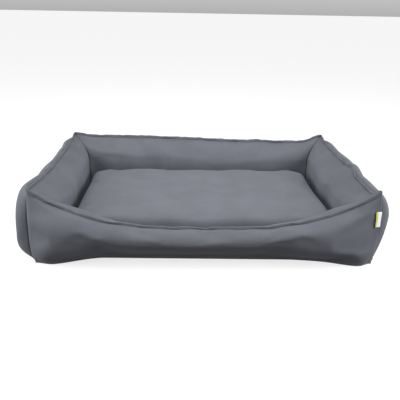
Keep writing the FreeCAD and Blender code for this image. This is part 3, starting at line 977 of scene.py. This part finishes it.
@dataclass
class RimFlange:
    """The flange of turned seam allowance that stands along the rim, with its line of stitches.

    Attributes:
        walls: The stuffed walls.
        suede: Finish of the flange.
        thread: Finish of the stitches.
        height: How far it stands above the seam.
        width: Thickness of the folded cloth.
        stitch: Length of a stitch.
        pitch: Distance from stitch to stitch.
        strand: Radius of the thread.
        stitch_height: Height of the stitches above the seam.
    """

    walls: PaddedWalls
    suede: bpy.types.Material
    thread: bpy.types.Material
    height: float = 0.0092
    width: float = 0.0052
    stitch: float = 0.0034
    pitch: float = 0.0048
    strand: float = 0.00032
    stitch_height: float = 0.0028

    def frames(self, side: Side, step: float) -> tuple[Array, Array, Array, Array]:
        """Walks along a wall's rim and finds how the flange leans.

        Args:
            side: The wall.
            step: Distance between the places.

        Returns:
            Distances from the start, points on the seam, directions across and directions up.
        """
        line = self.walls.rim_line(side)
        run = running_length(line)
        s = np.linspace(0, run[-1], round(run[-1] / step) + 1)
        points = sample(line, run, s)
        calm = ease(np.minimum(s, run[-1] - s) / 0.05)
        lean = np.radians(16 * ripple(s, (0.143, 0.087, 0.231), side.value / 19) * calm)
        way = unit(np.gradient(points, axis=0))
        flat = unit(np.cross(way, [0.0, 0.0, 1.0]))
        rise = np.cross(flat, way)
        across = flat * np.cos(lean)[:, None] - rise * np.sin(lean)[:, None]
        up = rise * np.cos(lean)[:, None] + flat * np.sin(lean)[:, None]
        return s, points, across, up

    def strip(self, side: Side) -> bpy.types.Object:
        """Makes the flange of one wall: a rounded strip whose height and thickness pucker.

        Args:
            side: The wall.

        Returns:
            The flange. Its section is a superellipse from just under the seam to its full height.
        """
        s, points, across, up = self.frames(side, 0.004)
        calm = ease(np.minimum(s, s[-1] - s) / 0.03)
        pucker = ripple(s, (0.046, 0.071, 0.029), side.value / 13) * calm
        tall = self.height * (1 + 0.07 * pucker)
        thick = self.width * (1 + 0.09 * ripple(s, (0.041, 0.027), side.value / 11)) * (0.7 + 0.3 * calm)
        sides, low = 14, 0.003
        cos, sin = circle(sides).T
        across_share = np.sign(cos) * np.abs(cos) ** 0.7 / 2
        up_share = np.sign(sin) * np.abs(sin) ** 0.6 / 2 + 0.5
        section = np.stack([thick[:, None] * across_share[None],
                            -low + (tall + low)[:, None] * up_share[None]], -1)
        sway = across * (0.0005 * ripple(s, (0.033, 0.052), side.value / 7) * calm)[:, None]
        mesh_points, faces = tube_along(points + sway, across, up, section)
        uv = np.zeros((len(mesh_points), 2))
        uv[:len(s) * sides] = np.stack(np.broadcast_arrays(s[:, None], section[..., 1]), -1).reshape(-1, 2)
        piece = make_piece(f"flange_suede_{side.word}", mesh_points, faces, uv)
        refine(piece)
        return place(piece, self.suede, "bed", "cover_suede", f"rim_flange_{side.word}")

    def stitches(self, side: Side) -> bpy.types.Object:
        """Makes the visible stitches of one flange, each a small rounded capsule of thread.

        Args:
            side: The wall.

        Returns:
            The stitches along both faces of the flange.
        """
        s, points, across, up = self.frames(side, self.pitch)
        way = unit(np.gradient(points, axis=0))
        ends = np.array([0.0, 0.5, 1.0, 1.0, 0.5, 0.0])
        place_on = np.array([-0.5, -0.42, -0.2, 0.2, 0.42, 0.5]) * self.stitch
        ring = self.strand * circle(6)
        shape = np.concatenate([np.repeat(place_on, 6)[:, None],
                                (np.maximum(ends, 0.12)[:, None, None] * ring[None]).reshape(-1, 2)], 1)
        faces = grid_faces(6, 6, round_columns=True)
        sets = []
        for sign in (1, -1):
            origin = points + across * (sign * self.width * 0.50) + up * self.stitch_height
            sets.append(np.stack([origin, way, across, up], 1)[2:-2])
        mesh_points, mesh_faces = scatter(shape, faces, np.concatenate(sets))
        piece = make_piece(f"flange_stitches_{side.word}", mesh_points, mesh_faces)
        return place(piece, self.thread, "bed", "cover_suede")

    def build(self) -> None:
        """Builds the four flanges and their stitches."""
        for side in Side:
            self.strip(side)
            self.stitches(side)


# ---------------------------------------------------------------- cushion

@dataclass
class LooseCushion:
    """The loose cushion: a rounded rectangle of fibre in a suede case sewn round its waist.

    Attributes:
        low: Lowest corner of the cushion.
        high: Highest corner.
        suede: Finish of the case.
        fibre: Finish of the filling.
        corner: Radius of its corners seen from above.
        edge: Radius of its edges.
        crown: How much higher the middle of the top is than its edge.
        stretch: How much further its top reaches on each side, where nothing holds it.
        cell: Size of a mesh cell before it is refined.
        cloth: Thickness of the case.
        swollen: How far the stuffed case may pass its half sizes.
        fill_inset: How far inside the case the filling ends.
        rounded: Share of the cloth's rectangle that its rounded corners leave; not used.
    """

    low: Vector
    high: Vector
    suede: bpy.types.Material
    fibre: bpy.types.Material
    corner: float = 0.085
    edge: float = 0.011
    crown: float = 0.004
    stretch: float = 0.006
    cell: float = 0.010
    cloth: float = 0.0014
    swollen: float = 0.0015
    fill_inset: float = 0.006
    rounded: float = 0.985

    def __post_init__(self) -> None:
        """Works out the half sizes, the height of the seam and the number of cells."""
        self.half = np.array([self.high.x - self.low.x, self.high.y - self.low.y]) / 2
        self.seam = (self.low.z + self.high.z) / 2
        self.spare = self.edge * (math.pi / 2 - 1)
        self.shape_of_grid = tuple(2 * round((h + self.spare) / self.cell) + 1 for h in self.half)

    def sheet_points(self, upper: bool) -> Array:
        """Works out the top or the bottom half as a grid bent down round its edge.

        The grid's corner squares are rounded by the square-to-disc rule, X = p sqrt(1 - q^2 / 2). The
        outer strip of the flat sheet, a quarter turn long, is then wrapped round the edge radius.

        Args:
            upper: Whether it is the top half.

        Returns:
            (columns, rows, 3) points.
        """
        half = self.half + self.spare
        radius = self.corner + self.spare
        x, y = np.meshgrid(*(np.linspace(-h, h, n) for h, n in zip(half, self.shape_of_grid)), indexing="ij")
        p = np.clip((np.abs(x) - (half[0] - radius)) / radius, 0, 1)
        q = np.clip((np.abs(y) - (half[1] - radius)) / radius, 0, 1)
        at_corner = (p > 0) & (q > 0)
        px = np.where(at_corner, p * np.sqrt(1 - q * q / 2), p)
        qy = np.where(at_corner, q * np.sqrt(1 - p * p / 2), q)
        core = np.stack([np.minimum(np.abs(x), half[0] - radius),
                         np.minimum(np.abs(y), half[1] - radius)], -1)
        out = np.stack([px, qy], -1) * radius
        distance = np.linalg.norm(out, axis=-1)
        way = out / np.maximum(distance, 1e-9)[..., None]
        inset = radius - distance
        turn = np.clip(inset / self.edge, 0, math.pi / 2)
        pulled = self.spare - np.minimum(inset, self.edge * math.pi / 2) + self.edge * (1 - np.cos(turn))
        flat = core + out - way * np.clip(pulled, 0, None)[..., None]
        sign = np.stack([np.sign(x), np.sign(y)], -1)
        rise = np.sin(turn)
        top, bottom = self.high.z - 0.001, self.low.z + 0.0005
        if upper:
            dome = (1 - (x / half[0]) ** 2) * (1 - (y / half[1]) ** 2)
            waver = 0.0016 * ripple(x + 0.6 * y, (0.31, 0.19), 0.7) * rise
            z = self.seam + (top - self.seam) * rise + self.crown * ease(dome) + waver
        else:
            z = self.seam - (self.seam - bottom) * np.minimum(1, 1.06 * rise)
        lean = 1 + self.stretch * ease((z - bottom) / (top - bottom))[..., None] / self.half
        return np.concatenate([flat * sign * lean, z[..., None]], -1)

    def body(self) -> tuple[Array, Array, Array]:
        """Joins both halves into one closed case along their shared seam.

        Returns:
            The points, and the point numbers of the top grid and of the bottom grid.
        """
        top, bottom = self.sheet_points(True), self.sheet_points(False)
        wide, deep = self.shape_of_grid
        edge = np.zeros((wide, deep), bool)
        edge[[0, -1]] = edge[:, [0, -1]] = True
        top_index = np.arange(wide * deep).reshape(wide, deep)
        bottom_index = top_index.copy()
        bottom_index[~edge] = wide * deep + np.arange((~edge).sum())
        return np.concatenate([top.reshape(-1, 3), bottom[~edge]]), top_index, bottom_index

    def case_faces(self, top_index: Array, bottom_index: Array) -> Array:
        """Returns the faces of the closed case, all facing outwards."""
        quads = grid_faces(*self.shape_of_grid)
        return np.concatenate([top_index.ravel()[quads][:, ::-1], bottom_index.ravel()[quads]])

    def stuff(self) -> tuple[Array, Array, Array]:
        """Stuffs the closed case and keeps it inside its own space in the bed.

        Returns:
            The stuffed points, and the point numbers of both halves.
        """
        points, top_index, bottom_index = self.body()
        case = make_piece("cushion_case", points, self.case_faces(top_index, bottom_index))
        held = np.flatnonzero(points[:, 2] < self.low.z + 0.002)
        stuffed = Stuffing(pressure=3.0, growth=0.006, swell=0.006, stiffness=3.0).fill(case, held)
        bpy.data.objects.remove(case)
        limit = self.half + self.swollen + self.stretch * ease((stuffed[:, 2:] - self.low.z) / 0.095)
        stuffed[:, :2] = np.clip(stuffed[:, :2], -limit, limit)
        stuffed[:, 2] = np.maximum(stuffed[:, 2], self.low.z)
        return stuffed, top_index, bottom_index

    def build(self) -> None:
        """Builds the two halves of the case and the filling."""
        points, top_index, bottom_index = self.stuff()
        quads = grid_faces(*self.shape_of_grid)
        for word, index, turned in (("top", top_index, True), ("bottom", bottom_index, False)):
            patch = points[index.ravel()]
            faces = quads[:, ::-1] if turned else quads
            piece = make_piece(f"cushion_suede_{word}", patch, faces, patch[:, :2])
            refine(piece)
            thicken(piece, self.cloth)
            place(piece, self.suede, "cushion", "cushion_suede", f"cushion_{word}_panel")
            flat = tuple(round(float(2 * (h + self.spare)), 3) for h in self.half)
            log_cut(piece, flat)
        middle = np.array([0.0, 0.0, self.seam])
        reach = np.array([*self.half, self.seam - self.low.z])
        inner = middle + (points - middle) * (1 - self.fill_inset / reach)
        core = make_piece("cushion_fibre", inner, self.case_faces(top_index, bottom_index))
        place(core, self.fibre, "cushion", "fibre_fill", "cushion_core")


# ---------------------------------------------------------------- underside and floor

@dataclass
class Underside:
    """The base cloth under the bed, its grip dots, and the lining that closes the well.

    Attributes:
        walls: The stuffed walls, whose feet the base is sewn to.
        base_cloth: Finish of the base.
        grip: Finish of the dots.
        lining: Finish of the lining.
        spacing: Distance between grip dots.
        dot: Radius of a dot.
        relief: Height of a dot.
        margin: Width left bare between the outermost dots and the rim's line.
    """

    walls: PaddedWalls
    base_cloth: bpy.types.Material
    grip: bpy.types.Material
    lining: bpy.types.Material
    spacing: float = 0.024
    dot: float = 0.003
    relief: float = 0.0008
    margin: float = 0.05

    def sheet_between(self, name: str, inset: float, z: float,
                      wave: float) -> tuple[bpy.types.Object, tuple, float]:
        """Makes a cloth whose edge follows the walls' feet at an inset.

        A point is (s, r) on a unit square, placed at s times the edge of the side walls there and r
        times the edge of the front or back.

        Args:
            name: The piece's name.
            inset: How far inside the feet it ends.
            z: Its height.
            wave: Height of its soft waves.

        Returns:
            The piece, its flat size and its flat area, which is smaller as its edges are waisted.
        """
        lines = {side: self.walls.foot_line(side) for side in Side}
        s, r = np.meshgrid(np.linspace(-1, 1, 91), np.linspace(-1, 1, 67), indexing="xy")
        rim = self.walls.rim

        def edge(side: Side, share: Array) -> Array:
            """Distance of a wall's foot from the middle at a share of its length."""
            line = lines[side]
            along = line @ side.along
            return np.interp(share * rim.half(side), along, line @ side.outward) - inset

        right, left = edge(Side.RIGHT, r), edge(Side.LEFT, -r)
        front, back = edge(Side.FRONT, s), edge(Side.BACK, -s)
        x = np.where(s > 0, s * right, s * left)
        y = np.where(r > 0, r * back, r * front)
        height = z + wave * ripple(x + 0.4 * y, (0.23, 0.13), 0.3) * (1 - s ** 8) * (1 - r ** 8)
        points = np.stack([x, y, height], -1).reshape(-1, 3)
        piece = make_piece(name, points, grid_faces(67, 91), points[:, :2])
        area = float(np.sum(np.ptp(x, axis=1)[1:] * np.diff(y.mean(1))))
        return piece, (round(float(np.ptp(x)), 3), round(float(np.ptp(y)), 3)), round(area, 4)

    def base(self) -> bpy.types.Object:
        """Makes the base cloth, facing down, sewn to the walls' feet."""
        piece, flat, area = self.sheet_between("base_cloth_sheet", 0.0, 0.0009, 0.0)
        piece.data.flip_normals()
        thicken(piece, 0.0012)
        place(piece, self.base_cloth, "bed", "base_cloth", "base_panel")
        log_cut(piece, flat)
        return piece

    def floor_lining(self) -> bpy.types.Object:
        """Makes the lining between the walls' inner feet, with the soft waves of loose cloth."""
        piece, flat, area = self.sheet_between("floor_lining_sheet", 0.040, 0.0030, 0.0004)
        thicken(piece, 0.0008)
        place(piece, self.lining, "bed", "lining_cloth", "floor_panel")
        log_cut(piece, flat)
        return piece

    def grip_dots(self) -> bpy.types.Object:
        """Makes rows of flat vinyl dots under the base, every other row shifted by half a space."""
        rim = self.walls.rim
        i, j = np.meshgrid(np.arange(-18, 19), np.arange(-14, 15), indexing="ij")
        x = (i + 0.5 * (j % 2)) * self.spacing
        y = j * self.spacing * 0.86
        inside = (np.abs(x) < rim.half_x - self.margin) & (np.abs(y) < rim.half_y - self.margin)
        centres = np.stack([x[inside], y[inside], np.zeros(inside.sum())], -1)
        radii = self.dot * np.array([0.05, 0.6, 0.9, 1.0])
        depth = self.relief * np.array([0.02, 0.05, 0.3, 1.0])
        level = (radii[:, None, None] * circle(10)).reshape(-1, 2)
        shape = np.concatenate([level, np.repeat(depth, 10)[:, None]], 1)
        frames = np.broadcast_to(np.eye(3), (len(centres), 3, 3))
        frames = np.concatenate([centres[:, None], frames], 1)
        piece = make_piece("base_grip_dots", *scatter(shape, grid_faces(4, 10, round_columns=True), frames))
        return place(piece, self.grip, "bed", "base_cloth")

    def build(self) -> None:
        """Builds the base, its dots and the lining."""
        self.base()
        self.grip_dots()
        self.floor_lining()


# ---------------------------------------------------------------- zips and label

@dataclass
class CoilZip:
    """A coil zip: CAD tapes, stops, slider and puller, with the two coils wound here in detail.

    Attributes:
        prefix: Start of its CAD nodes' names.
        body: The body that the tapes and coils are sewn to.
        up: Direction across the zip, from the lower tape to the upper one.
        outward: Direction that the zip faces.
        tape: Finish of the tapes.
        coil: Finish of the coils.
        metal: Finish of the slider, puller and stops.
        pitch: Distance from turn to turn.
        wire: Radius of the coil's monofilament.
        half_width: Half the coil's size across the zip.
        half_depth: Half its thickness.
    """

    prefix: str
    body: str
    up: tuple[float, float, float]
    outward: tuple[float, float, float]
    tape: bpy.types.Material
    coil: bpy.types.Material
    metal: bpy.types.Material
    pitch: float = 0.0020
    wire: float = 0.0004
    half_width: float = 0.0013
    half_depth: float = 0.0009

    def winding(self, word: str) -> bpy.types.Object:
        """Winds one coil as a flattened helix of monofilament in the CAD coil's place.

        A point of the centreline is x, plus across * cos(turn) and outward * sin(turn), with the
        radii that the CAD coil's section leaves for the wire.

        Args:
            word: upper or lower.

        Returns:
            The coil.
        """
        node = f"{self.prefix}_coil_{word}"
        low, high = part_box(node)
        up, outward = np.array(self.up), np.array(self.outward)
        middle = (np.array(low) + np.array(high)) / 2
        turns, points_per_turn = round((high.x - low.x) / self.pitch), 10
        step = np.arange(turns * points_per_turn + 1) / points_per_turn
        angle = step * math.tau
        x = low.x + self.wire + (high.x - low.x - 2 * self.wire) * step / turns
        wide, deep = self.half_width - self.wire, self.half_depth - self.wire
        path = middle[None] + up * (wide * np.cos(angle))[:, None] + outward * (deep * np.sin(angle))[:, None]
        path[:, 0] = x
        way = unit(np.gradient(path, axis=0))
        side = unit(np.cross(way, [1.0, 0.0, 0.0]))
        tube = tube_along(path, side, np.cross(side, way), self.wire * circle(5))
        piece = make_piece(f"{self.prefix}_winding_{word}", *tube)
        return place(piece, self.coil, self.body, "zip_coil", node)

    def build(self) -> None:
        """Winds both coils and dresses the CAD pieces of the zip."""
        for word in ("upper", "lower"):
            self.winding(word)
            dress(f"{self.prefix}_tape_{word}", self.tape)
        for word in ("stops", "slider", "puller"):
            dress(f"{self.prefix}_{word}", self.metal)


@dataclass
class FoldedLabel:
    """A folded satin label sewn into the front right corner seam, lying against the front wall.

    Attributes:
        walls: The stuffed walls it lies against.
        ribbon: Finish of the label.
        length: How far it reaches from the seam.
        tall: Its size along the seam.
        low: Height of its lower edge.
        thickness: Thickness of one layer.
        stand_off: Distance of its inner face from the wall.
    """

    walls: PaddedWalls
    ribbon: bpy.types.Material
    length: float = 0.018
    tall: float = 0.046
    low: float = 0.121
    thickness: float = 0.0006
    stand_off: float = 0.0016

    def build(self) -> bpy.types.Object:
        """Builds the label as one ribbon folded double over a soft bend at its free edge.

        Returns:
            The label. It starts on the corner seam and follows the front panel's surface there.
        """
        walls = self.walls
        column = walls.columns_of(Side.FRONT)[::-1]
        surface = walls.ring[:walls.outer_rows + 1]
        near = surface[:, column[:8]]
        tall, wide = 13, 9
        heights = self.low + self.tall * np.linspace(0, 1, tall)
        share = np.linspace(0, 1, wide)
        sheet = np.stack([sample(line, line[:, 2], heights) for line in np.swapaxes(near, 0, 1)], 1)
        run = np.linalg.norm(np.diff(sheet, axis=1), axis=2).cumsum(1)
        run = np.concatenate([np.zeros((tall, 1)), run], 1)
        reach = share * self.length
        where = np.stack([sample(row, walked, reach) for row, walked in zip(sheet, run)])
        normal = unit(np.cross(np.gradient(where, axis=1), np.gradient(where, axis=0)))
        normal *= np.sign(normal @ Side.FRONT.outward)[..., None]
        curl = 0.0015 * share[None, :, None] ** 2
        back = where + normal * (self.stand_off + curl)
        front = where + normal * (self.stand_off + self.thickness * 2.4 + curl)
        loop = np.concatenate([front, back[:, ::-1]], 1)
        loop[:, wide - 1] += (where[:, -1] - where[:, -2]) * 0.15
        pattern = np.concatenate([share, share[::-1]])
        uv = np.stack(np.broadcast_arrays(pattern[None], np.linspace(0, 1, tall)[:, None]), -1)
        faces = grid_faces(tall, 2 * wide)[:, ::-1]
        piece = make_piece("folded_label", loop.reshape(-1, 3), faces, uv.reshape(-1, 2))
        thicken(piece, self.thickness)
        refine(piece)
        place(piece, self.ribbon, "bed", "label_satin", "side_label")
        log_cut(piece, (2 * self.length, self.tall))
        return piece


# ---------------------------------------------------------------- studio

@dataclass
class Studio:
    """A plain pale floor, a pale surround, three soft square lights and the camera.

    Attributes:
        eye: The camera's place.
        pan: Turn of the view from +Y towards +X, in degrees.
        tilt: Downward tilt of the view, in degrees.
        roll: Turn of the picture, in degrees.
        lens: Focal length in millimetres on a 36 mm sensor.
        level_to: How far out the floor is level.
        turned_to: How far out its turned-up edge ends.
        turned_up: Height of that edge.
    """

    eye: tuple[float, float, float] = (-0.070, -1.819, 0.709)
    pan: float = 2.09
    tilt: float = 19.34
    roll: float = 1.04
    lens: float = 50.0
    level_to: float = 60.0
    turned_to: float = 75.0
    turned_up: float = 14.0

    def camera(self) -> None:
        """Places the camera that the scene is seen through."""
        data = bpy.data.cameras.new("camera")
        data.lens, data.sensor_width = self.lens, 36.0
        data.clip_start, data.clip_end = 0.05, 50.0
        camera = bpy.data.objects.new("camera", data)
        bpy.context.scene.collection.objects.link(camera)
        pan, tilt, roll = (math.radians(a) for a in (self.pan, self.tilt, self.roll))
        forward = Vector((math.sin(pan) * math.cos(tilt), math.cos(pan) * math.cos(tilt), -math.sin(tilt)))
        right = Vector((math.cos(pan), -math.sin(pan), 0.0))
        up = right.cross(forward)
        side = right * math.cos(roll) + up * math.sin(roll)
        top = up * math.cos(roll) - right * math.sin(roll)
        turn = Matrix((side, top, -forward)).transposed().to_4x4()
        camera.matrix_world = Matrix.Translation(self.eye) @ turn
        bpy.context.scene.camera = camera

    def light(self, name: str, place_at: tuple, aim: tuple, size: float, power: float) -> None:
        """Adds one square soft light that points at a place.

        Args:
            name: The light's name.
            place_at: Where it hangs.
            aim: Where it points.
            size: Side of its square.
            power: Watts.
        """
        data = bpy.data.lights.new(name, "AREA")
        data.shape, data.size, data.energy = "SQUARE", size, power
        lamp = bpy.data.objects.new(name, data)
        bpy.context.scene.collection.objects.link(lamp)
        lamp.location = place_at
        lamp.rotation_euler = (Vector(aim) - Vector(place_at)).to_track_quat("-Z", "Y").to_euler()

    def floor(self) -> None:
        """Lays a wide pale floor that glows a little, like a light table, so that shadows stay faint.

        Far away its edge turns up, so that it also hides the horizon.
        """
        lines = [-self.turned_to, -self.level_to, self.level_to, self.turned_to]
        x, y = np.meshgrid(lines, lines, indexing="ij")
        z = np.where(np.maximum(np.abs(x), np.abs(y)) > self.level_to, self.turned_up, -0.0003)
        points = np.stack([x, y, z], -1).reshape(-1, 3)
        piece = make_piece("studio_floor", points, grid_faces(4, 4), smooth=False)
        material, tree = empty_material("pale_light_table")
        shader = add_node(tree, "ShaderNodeBsdfPrincipled", {
            "Base Color": linear("#9a9a9a"), "Roughness": 0.95, "Specular IOR Level": 0.0,
            "Emission Color": linear("#ffffff"), "Emission Strength": 0.72})
        add_node(tree, "ShaderNodeOutputMaterial", {"Surface": shader.outputs["BSDF"]})
        piece.data.materials.append(material)
        piece.visible_diffuse = False

    def surroundings(self) -> None:
        """Sets a surround that is pale overhead and dim below, and a plain display transform."""
        scene = bpy.context.scene
        world = bpy.data.worlds.new("surround")
        world.use_nodes = True
        tree = world.node_tree
        tree.nodes.clear()
        way = add_node(tree, "ShaderNodeTexCoord").outputs["Generated"]
        parts = add_node(tree, "ShaderNodeSeparateXYZ", {"Vector": way})
        glow = add_node(tree, "ShaderNodeMapRange", {"Value": parts.outputs["Z"], "From Min": -0.12,
                                                     "From Max": 0.04, "To Min": 0.08, "To Max": 0.62})
        sky = add_node(tree, "ShaderNodeBackground", {"Strength": glow.outputs["Result"],
                                                      "Color": (1.0, 1.0, 1.0, 1.0)})
        add_node(tree, "ShaderNodeOutputWorld", {"Surface": sky.outputs["Background"]})
        scene.world = world
        scene.view_settings.view_transform = "Standard"

    def build(self) -> None:
        """Builds the studio."""
        self.camera()
        self.floor()
        self.surroundings()
        self.light("overhead", (0.0, 0.1, 2.6), (0.0, 0.0, 0.0), 2.4, 36.0)
        self.light("left_side", (-2.3, -0.9, 1.0), (-0.3, -0.2, 0.1), 1.4, 56.0)
        self.light("right_side", (2.3, -0.9, 1.1), (0.3, -0.2, 0.1), 1.4, 56.0)


# ---------------------------------------------------------------- the bed

def main() -> None:
    """Builds the bed, one sub-assembly after another."""
    logging.basicConfig(level=logging.INFO, format="%(message)s")
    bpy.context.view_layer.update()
    cover = Microsuede("grey_microsuede_cover", "#54565d", "#686a72").build()
    # The cushion's suede is a lighter copy of the walls' suede. This is painted light: the cushion's top
    # faces the overhead light, while the walls turn away from it.
    cushion_suede_painted_lighter = Microsuede("grey_microsuede_cushion", "#585a61", "#6d6f77").build()
    fibre = Solid("white_polyester_fibre", "#e6e6e2", "#cfcfca", grain=0.006, roughness=0.95,
                  relief=0.001, sheen=0.3).build()
    thread = Solid("grey_polyester_thread", "#4a4c52", "#3c3e44", grain=0.0006, roughness=0.6).build()
    coil = Solid("grey_nylon_coil", "#43454b", "#37393f", grain=0.001, roughness=0.35).build()
    metal = Solid("nickel_plated_zinc", "#8d8e90", "#7b7c7f", grain=0.003, roughness=0.3, metallic=1.0,
                  relief=0.00002).build()
    grip = Solid("black_soft_vinyl_dots", "#1d1e20", "#161719", grain=0.002, roughness=0.55).build()
    base_cloth = WovenCloth("black_woven_base_cloth", "#2b2c30", "#17181a", spacing=0.0018).build()
    lining = WovenCloth("grey_woven_lining", "#6a6c72", "#4a4c51", spacing=0.0014).build()
    upright = WovenCloth("grey_zip_tape_upright", "#50525a", "#35373c", spacing=0.001,
                         turned=math.pi / 2).build()
    sloping = WovenCloth("grey_zip_tape_sloping", "#50525a", "#35373c", spacing=0.001,
                         turned=math.pi / 4).build()

    rim_low, rim_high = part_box("rim_flange_back")
    _, side_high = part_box("rim_flange_right")
    rim = Rim(half_x=side_high.x - 0.002, half_y=rim_high.y - 0.002, height=rim_high.z - 0.008)
    walls = PaddedWalls(rim, WallSection(), cover, fibre)
    walls.build()
    RimFlange(walls, cover, thread).build()
    low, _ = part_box("cushion_bottom_panel")
    _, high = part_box("cushion_top_panel")
    LooseCushion(low, high, cushion_suede_painted_lighter, fibre).build()
    Underside(walls, base_cloth, grip, lining).build()
    CoilZip("cover_zip", "bed", (0, 0, 1), (0, 1, 0), upright, coil, metal).build()
    slant = math.sqrt(0.5)
    CoilZip("cushion_zip", "cushion", (0, slant, slant), (0, slant, -slant), sloping, coil, metal).build()
    FoldedLabel(walls, SatinRibbon().build()).build()
    Studio().build()


if __name__ == "__main__":
    main()
